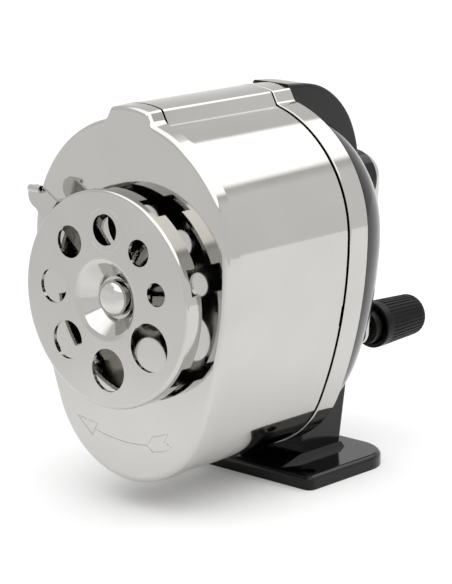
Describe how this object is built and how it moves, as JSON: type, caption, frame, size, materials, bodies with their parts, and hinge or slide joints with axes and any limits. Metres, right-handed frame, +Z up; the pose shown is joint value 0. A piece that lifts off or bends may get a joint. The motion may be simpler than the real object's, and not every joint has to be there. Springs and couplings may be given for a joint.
{
  "type": "crank pencil sharpener",
  "caption": "Wall or desk mounted hand-crank pencil sharpener with a turn-off shavings receptacle, rotating size dial and planetary cutter head on a screw-down base",
  "frame": {"origin": "centre of the base plate's underside, where it meets the desk", "axes": "+X right as the user faces the dial, +Y from the dial back towards the crank, +Z up"},
  "size_m": [0.0686, 0.13, 0.1075],
  "materials": {
    "black_enamel": "gloss black baked enamel",
    "nickel_shell": "bright nickel plated drawn steel",
    "nickel_dial": "bright nickel plated pressed steel",
    "bright_rivet": "polished ball head",
    "spring_steel": "nickel plated spring steel",
    "plain_sheet": "plain drawn steel sheet",
    "die_cast": "die cast, as cast",
    "bushing_brass": "sintered bearing metal",
    "turned_steel": "turned steel",
    "cutter_steel": "hardened ground tool steel",
    "zinc_screw": "zinc plated screw",
    "nickel_arm": "nickel plated pressed steel",
    "knob_plastic": "moulded black plastic"
  },
  "bodies": {
    "stand": {"base_plate": "black_enamel", "pedestal": "black_enamel", "rear_housing": "black_enamel", "stand_screws": "zinc_screw", "collar_ring": "nickel_shell", "gear_frame": "die_cast", "frame_screws": "zinc_screw", "ring_gear": "die_cast", "shaft_bushing": "bushing_brass"},
    "receptacle": {"front_cap": "nickel_shell", "receptacle_shell": "nickel_shell", "ridge_strip": "nickel_shell", "receptacle_bulkhead": "plain_sheet", "pencil_guide": "plain_sheet", "dial_rivet": "bright_rivet", "dial_spring": "spring_steel", "latch_rivet": "bright_rivet"},
    "crank": {"drive_shaft": "turned_steel", "cutter_carrier": "die_cast", "cutter_axle_a": "turned_steel", "cutter_axle_b": "turned_steel", "crank_arm": "nickel_arm", "shaft_pin": "turned_steel", "knob_axle": "turned_steel", "knob_sleeve": "knob_plastic"},
    "knob": {"knob": "knob_plastic", "knob_plug": "knob_plastic"},
    "cutter_a": {"cutter_a": "cutter_steel"},
    "cutter_b": {"cutter_b": "cutter_steel"},
    "dial": {"size_dial": "nickel_dial"},
    "latch": {"dial_latch": "spring_steel"}
  },
  "joints": [
    {"name": "receptacle_twist", "type": "hinge", "parent": "stand", "child": "receptacle", "pos_m": [0, -0.0125, 0.0765], "axis": [0, 1, 0], "range_deg": [0, 18]},
    {"name": "dial_spin", "type": "hinge", "parent": "receptacle", "child": "dial", "pos_m": [0, -0.07, 0.0581], "axis": [0, 1, 0], "continuous": true},
    {"name": "latch_press", "type": "hinge", "parent": "receptacle", "child": "latch", "pos_m": [-0.0089, -0.06555, 0.0662], "axis": [-0.7071, 0, -0.7071], "range_deg": [0, 1.5], "stiffness_Nm_per_rad": 0.05},
    {"name": "crank_spin", "type": "hinge", "parent": "stand", "child": "crank", "pos_m": [0, 0, 0.0765], "axis": [0, 1, 0], "continuous": true},
    {"name": "knob_spin", "type": "hinge", "parent": "crank", "child": "knob", "pos_m": [0, 0.048, 0.0315], "axis": [0, 1, 0], "continuous": true},
    {"name": "cutter_a_spin", "type": "hinge", "parent": "crank", "child": "cutter_a", "pos_m": [0.008, -0.0122, 0.0765], "axis": [-0.1822, 0.9833, 0], "continuous": true},
    {"name": "cutter_b_spin", "type": "hinge", "parent": "crank", "child": "cutter_b", "pos_m": [-0.008, -0.0122, 0.0765], "axis": [0.1822, 0.9833, 0], "continuous": true}
  ],
  "couplings": [
    {"joint": "cutter_a_spin", "follows": "crank_spin", "ratio": -2.6667},
    {"joint": "cutter_b_spin", "follows": "crank_spin", "ratio": -2.6667}
  ]
}
